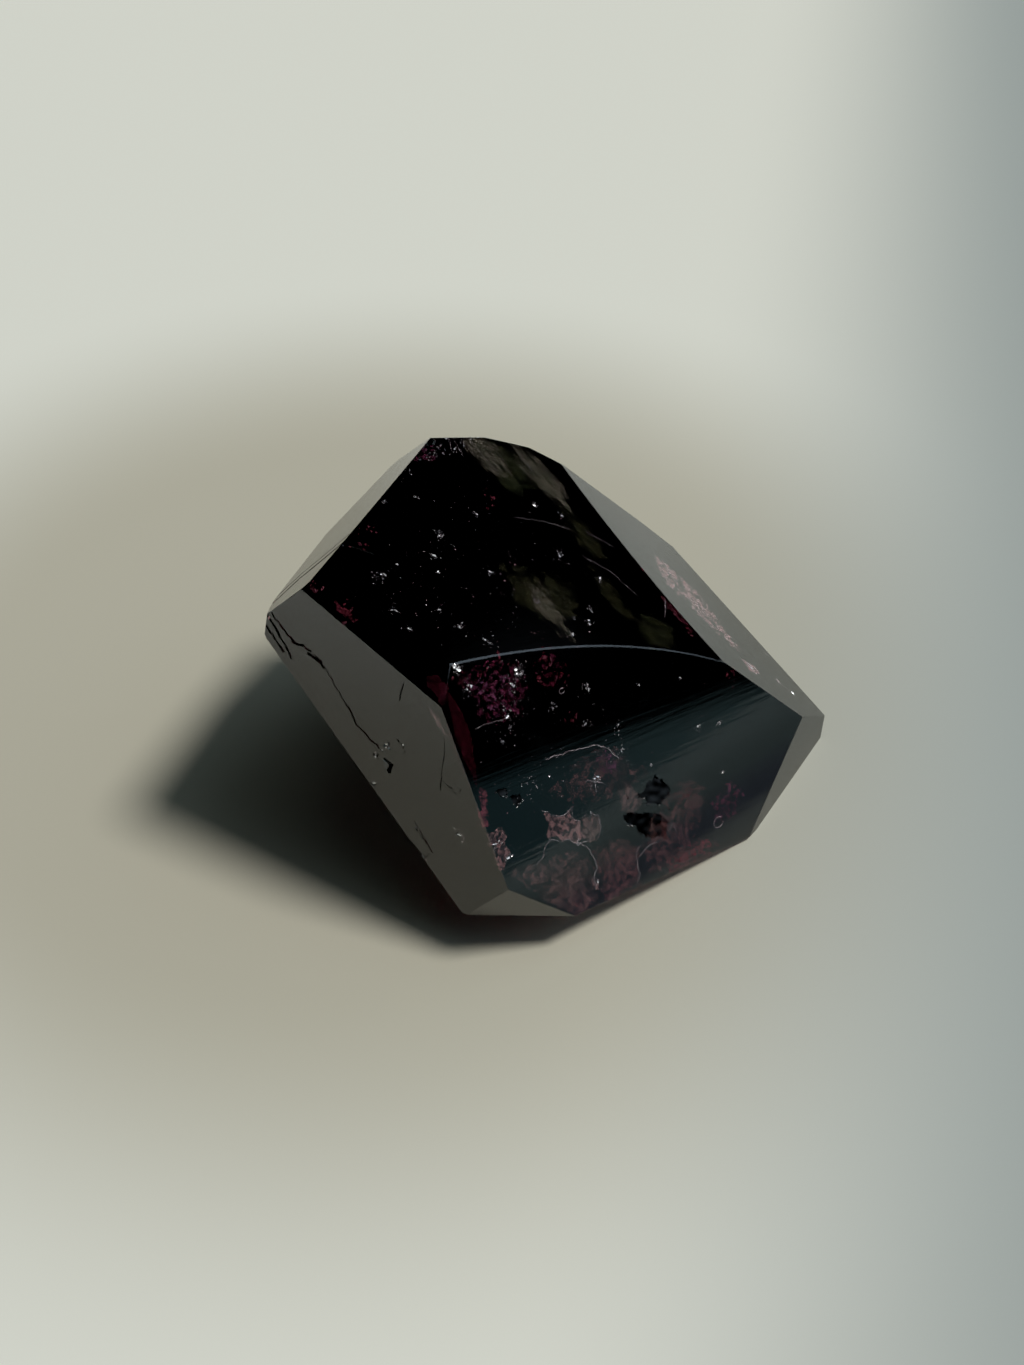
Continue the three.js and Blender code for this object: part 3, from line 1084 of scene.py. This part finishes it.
# The films, as (patches and clouds, piece, and its material's name, two colours, grain, softness, raggedness
# and, if they are unusual, opacity and stretch).
FILMS = (
    ((VEILS,), "healed_veils", "veil", (0.34, 0.14, 0.28), (0.025, 0.01, 0.03), 1.5, 0.35, 6.0),
    # The side films hold the white patch of the painted glint too.
    ((SIDE_VEILS_AND_PAINTED_GLINT,), "side_veils_and_painted_glint", "side_veil", (1.0, 0.88, 0.88), (0.6, 0.3, 0.32), 1.4, 0.4, 5.0, 0.65,
     (RIGHT, 140, 0.6, 1.2)),
    ((FRACTURES,), "fracture_films", "fracture", (0.44, 0.31, 0.29), (0.05, 0.03, 0.034), 1.4, 0.3, 3.6),
    ((GREY_FILMS,), "grey_films", "grey_film", (0.27, 0.21, 0.185), (0.06, 0.04, 0.04), 1.2, 0.6, 3.4),
    # A painted glow: light shining wine red through the thin edges.
    ((PAINTED_RED_GLOW,), "painted_red_glow", "painted_red_glow_film", (0.5, 0.22, 0.28), (0.1, 0.035, 0.055), 1.2, 0.6, 3.6),
    ((RED_BAND,), "red_band", "red_band", (0.1, 0.025, 0.05), (0.03, 0.005, 0.015), 0.9, 0.3, 2.0),
    # The olive films are a painted reflection on the dome; of the green films, the clouds are a painted
    # reflection too.
    ((OLIVE_PAINTED_REFLECTION_BANDS, (), PAINTED_REFLECTION_HALO), "olive_painted_reflection", "olive", (0.24, 0.265, 0.19), (0.05, 0.068, 0.042), 1.0, 0.5,
     3.0, 0.85, (DOME, 45, 0.25, 2.6)),
    ((GREEN_BANDS, GREEN_PAINTED_REFLECTION_CLOUDS, FAINT_CLOUDS), "green_haze_and_painted_reflection", "green", (0.038, 0.06, 0.02),
     (0.01, 0.02, 0.007), 0.9, 0.5, 2.6),
)

build_stone()
white = crystal_material("pale_crystal", (1.0, 1.0, 1.0), (0.7, 0.7, 0.74), glitter=0.5)
seal_in(pale_crystals(), "pale_crystals", white)
wine = crystal_material("deep_crystal", (0.5, 0.3, 0.36), (0.15, 0.06, 0.09))
seal_in(red_crystals(), "deep_crystals", wine)
for sheets, piece, *look in FILMS:
    seal_in(films(*sheets), piece, film_material(*look))
seal_in(threads(), "whiskers", crystal_material("whisker", (0.9, 0.88, 0.9), (0.4, 0.36, 0.38)))

# ---- Floor, light and camera ----

FLOOR_HALF = 3000
FLOOR_ROUGHNESS = 0.8
# The table top is pale, with painted shade: dimmer close to the stone, and falling into painted shade towards
# one side. The rings are (distance in mm from their middle, colour), and the shade is (distance, share,
# colour) on its direction.
FLOOR_RINGS_WITH_PAINTED_SHADE = ((46, (0.40, 0.38, 0.31)), (94, (0.63, 0.63, 0.57)))
PAINTED_SHADE_MIDDLE = (-22, 18)
PAINTED_SHADE_DIRECTION = direction(80, 0)
PAINTED_SHADE_STOPS = (
    (4, 0.0, (0.30, 0.33, 0.32)),
    (62, 1.0, (0.30, 0.33, 0.32)),
    (112, 1.0, (0.115, 0.135, 0.17)),
    (320, 1.0, (0.18, 0.235, 0.235)),
    (800, 1.0, (0.26, 0.33, 0.33)),
)


def ramp_of(tree, value, stops):
    """The colour at a length in metres, from stops of (mm, share, colour). Its alpha is the share."""
    farthest = stops[-1][0]
    ramp = add_node(tree, "ShaderNodeValToRGB", {"Fac": carried(tree, value, (0, farthest * MM))})
    ramp.color_ramp.interpolation = "EASE"
    elements = ramp.color_ramp.elements
    while len(elements) < len(stops):
        elements.new(1.0)
    for element, (distance, amount, colour) in zip(elements, stops):
        element.position = distance / farthest
        element.color = (*colour, amount)
    return ramp.outputs


def build_floor():
    """A pale table top with painted shade near the stone and towards one side."""
    bm = bmesh.new()
    bmesh.ops.create_grid(bm, x_segments=1, y_segments=1, size=FLOOR_HALF)
    material, tree, shader = new_material("table")
    place = coordinates(tree)
    middle = (PAINTED_SHADE_MIDDLE[0] * MM, PAINTED_SHADE_MIDDLE[1] * MM, 0)
    distance = vector_maths(tree, "DISTANCE", place, middle)
    # Painted shade: the rings dim the table near the stone, and the shade darkens it towards one side.
    rings = ramp_of(tree, distance, [(r, 1.0, c) for r, c in FLOOR_RINGS_WITH_PAINTED_SHADE])
    painted_shade = ramp_of(tree, vector_maths(tree, "DOT_PRODUCT", place, PAINTED_SHADE_DIRECTION), PAINTED_SHADE_STOPS)
    blend = mixed(tree, painted_shade["Alpha"], rings["Color"], painted_shade["Color"])
    tree.links.new(blend, shader.inputs["Base Color"])
    shader.inputs["Roughness"].default_value = FLOOR_ROUGHNESS
    shader.inputs["Specular IOR Level"].default_value = 0.0
    floor = new_object(bm, "table_top", [material])


SUN_DIRECTION = direction(82, 59)
SUN_STRENGTH = 3.1
SUN_WIDTH = math.radians(13)
SUN_COLOUR = (1.0, 0.985, 0.95)


def build_sun():
    """One soft sun."""
    sun = bpy.data.lights.new("key", "SUN")
    sun.energy = SUN_STRENGTH
    sun.angle = SUN_WIDTH
    sun.color = SUN_COLOUR
    lamp = bpy.data.objects.new("key", sun)
    lamp.rotation_euler = SUN_DIRECTION.to_track_quat("Z", "Y").to_euler()
    bpy.context.scene.collection.objects.link(lamp)


def cosine_of(angle):
    """The cosine of an angle in degrees."""
    return math.cos(math.radians(angle))


# The room's glows, each as (its direction, the cosines of the angles off it where it fades out and where it
# is full, its colour). The wall is a whole half of the room, and the wall's end is its part to the right.
WINDOW = (direction(95, 42), (cosine_of(42), cosine_of(10)), (0.7, 0.86, 1.0))
WALL = (-direction(169.5, 74.4), (-0.008, 0.008), (0.06, 0.125, 0.14))
WALL_END = (direction(86, 0), (cosine_of(15), cosine_of(5)), (0.06, 0.08, 0.075))
CEILING = (direction(100, 84), (cosine_of(25), cosine_of(8)), (0.36, 0.47, 0.46))


def build_room():
    """A world of a few soft glows on black."""
    world = bpy.data.worlds.new("room")
    bpy.context.scene.world = world
    world.use_nodes = True
    tree = world.node_tree
    looks = coordinates(tree, "Generated")

    def mask(glow):
        aim, ends, _ = glow
        return carried(tree, vector_maths(tree, "DOT_PRODUCT", looks, aim), ends, smooth=True)

    def scaled(glow, amount):
        inputs = {0: glow[2], "Scale": amount}
        return add_node(tree, "ShaderNodeVectorMath", inputs, operation="SCALE").outputs["Vector"]

    wall = mask(WALL)
    wall_end = add_node(tree, "ShaderNodeMath", {0: wall, 1: mask(WALL_END)}, operation="MULTIPLY").outputs[0]
    total = scaled(WINDOW, mask(WINDOW))
    for glow, amount in ((WALL, wall), (WALL_END, wall_end), (CEILING, mask(CEILING))):
        total = vector_maths(tree, "ADD", total, scaled(glow, amount))
    tree.links.new(total, tree.nodes["Background"].inputs["Color"])


CAMERA_ELEVATION = 42
CAMERA_DISTANCE = 184.1
CAMERA_AIM = Vector((-5.56, -12.1, 27.1))
LENS = 50
SENSOR = 36
# The camera's clip start in metres.
NEAR_CLIP = 0.005


def build_camera():
    """The camera in front of the stone, which looks down on it."""
    data = bpy.data.cameras.new("camera")
    data.lens = LENS
    data.sensor_width = SENSOR
    data.clip_start = NEAR_CLIP
    camera = bpy.data.objects.new("camera", data)
    back = direction(0, CAMERA_ELEVATION)
    camera.location = (CAMERA_AIM + back * CAMERA_DISTANCE) * MM
    camera.rotation_euler = back.to_track_quat("Z", "Y").to_euler()
    bpy.context.scene.collection.objects.link(camera)
    bpy.context.scene.camera = camera


build_floor()
build_sun()
build_room()
build_camera()
bpy.context.scene.view_settings.view_transform = "Standard"
bpy.context.scene.cycles.denoising_input_passes = "RGB"
